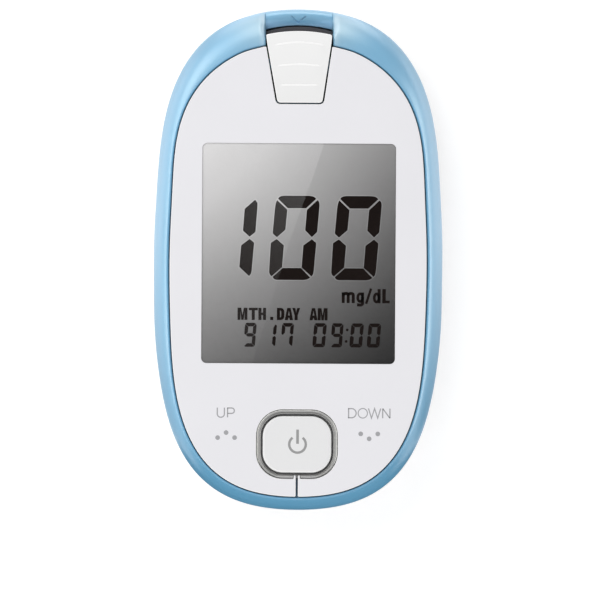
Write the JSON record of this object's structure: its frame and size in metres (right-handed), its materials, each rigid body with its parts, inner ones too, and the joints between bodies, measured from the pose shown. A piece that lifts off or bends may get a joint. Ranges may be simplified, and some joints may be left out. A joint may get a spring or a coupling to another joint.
{
  "type": "blood glucose meter",
  "caption": "Handheld blood glucose meter: oval casing with a large display, an oval power key, two flexing keys, a test strip port with a slide ejector and a battery cover on the back.",
  "frame": {"origin": "middle of the outline on the flat back, at the lowest point of the casing", "axes": "+X to the right seen from the front, +Y up the face towards the test strip port, +Z out of the face towards the user"},
  "size_m": [0.0558, 0.0968, 0.0183],
  "materials": {
    "blue_casing": "satin moulded plastic, light blue",
    "white_casing": "satin moulded plastic, white",
    "display_window": "clear polished acrylic",
    "lcd_glass": "grey liquid crystal panel",
    "trim_ring": "dull chrome plating",
    "black_plastic": "matte black plastic",
    "rubber": "soft silicone rubber",
    "circuit_board": "green solder mask",
    "contact_metal": "gold plated spring contacts",
    "steel": "nickel plated steel"
  },
  "bodies": {
    "root": {"front_housing": "blue_casing", "face_plate": "white_casing", "display_window": "display_window", "lcd_glass": "lcd_glass", "lcd_frame": "white_casing", "zebra_connector_top": "rubber", "zebra_connector_bottom": "rubber", "main_board": "circuit_board", "microcontroller": "black_plastic", "measuring_chip": "black_plastic", "clock_crystal": "steel", "capacitor": "contact_metal", "buzzer": "black_plastic", "power_switch": "black_plastic", "up_switch": "black_plastic", "down_switch": "black_plastic", "power_key_ring": "trim_ring", "strip_connector": "black_plastic", "strip_contact_1": "contact_metal", "strip_contact_2": "contact_metal", "strip_contact_3": "contact_metal", "strip_contact_4": "contact_metal", "port_guide": "black_plastic", "ejector_spring": "steel", "rear_cover": "white_casing", "housing_screw_top_left": "steel", "housing_screw_top_right": "steel", "housing_screw_bottom_left": "steel", "housing_screw_bottom_right": "steel", "battery_cell_1": "steel", "battery_cell_2": "steel", "battery_spring_1": "contact_metal", "battery_spring_2": "contact_metal", "battery_clip_1": "steel", "battery_clip_2": "steel"},
    "power_key": {"power_key_cap": "white_casing", "power_plunger": "rubber"},
    "up_key": {"up_key_flap": "white_casing", "up_plunger": "rubber"},
    "down_key": {"down_key_flap": "white_casing", "down_plunger": "rubber"},
    "ejector": {"ejector_button": "white_casing", "ejector_carriage": "black_plastic"},
    "battery_cover": {"battery_cover": "white_casing"}
  },
  "joints": [
    {"name": "power_press", "type": "slide", "parent": "root", "child": "power_key", "axis": [0, 0, -1], "range_m": [0, 0.0005], "stiffness_N_per_m": 300, "springref_m": -0.003},
    {"name": "up_press", "type": "hinge", "parent": "root", "child": "up_key", "pos_m": [-0.0143, -0.0255, 0.0172], "axis": [0.9424, -0.3345, 0], "range_deg": [0, 2.8], "stiffness_Nm_per_rad": 0.275},
    {"name": "down_press", "type": "hinge", "parent": "root", "child": "down_key", "pos_m": [0.0143, -0.0255, 0.0172], "axis": [0.9424, 0.3345, 0], "range_deg": [0, 2.8], "stiffness_Nm_per_rad": 0.275},
    {"name": "ejector_slide", "type": "slide", "parent": "root", "child": "ejector", "axis": [0, 1, 0], "range_m": [0, 0.0035], "stiffness_N_per_m": 100, "springref_m": -0.003, "deforming": ["ejector_spring"]},
    {"name": "battery_cover_hinge", "type": "hinge", "parent": "root", "child": "battery_cover", "pos_m": [0, 0.0194, 0.00005], "axis": [1, 0, 0], "range_deg": [0, 60]}
  ]
}
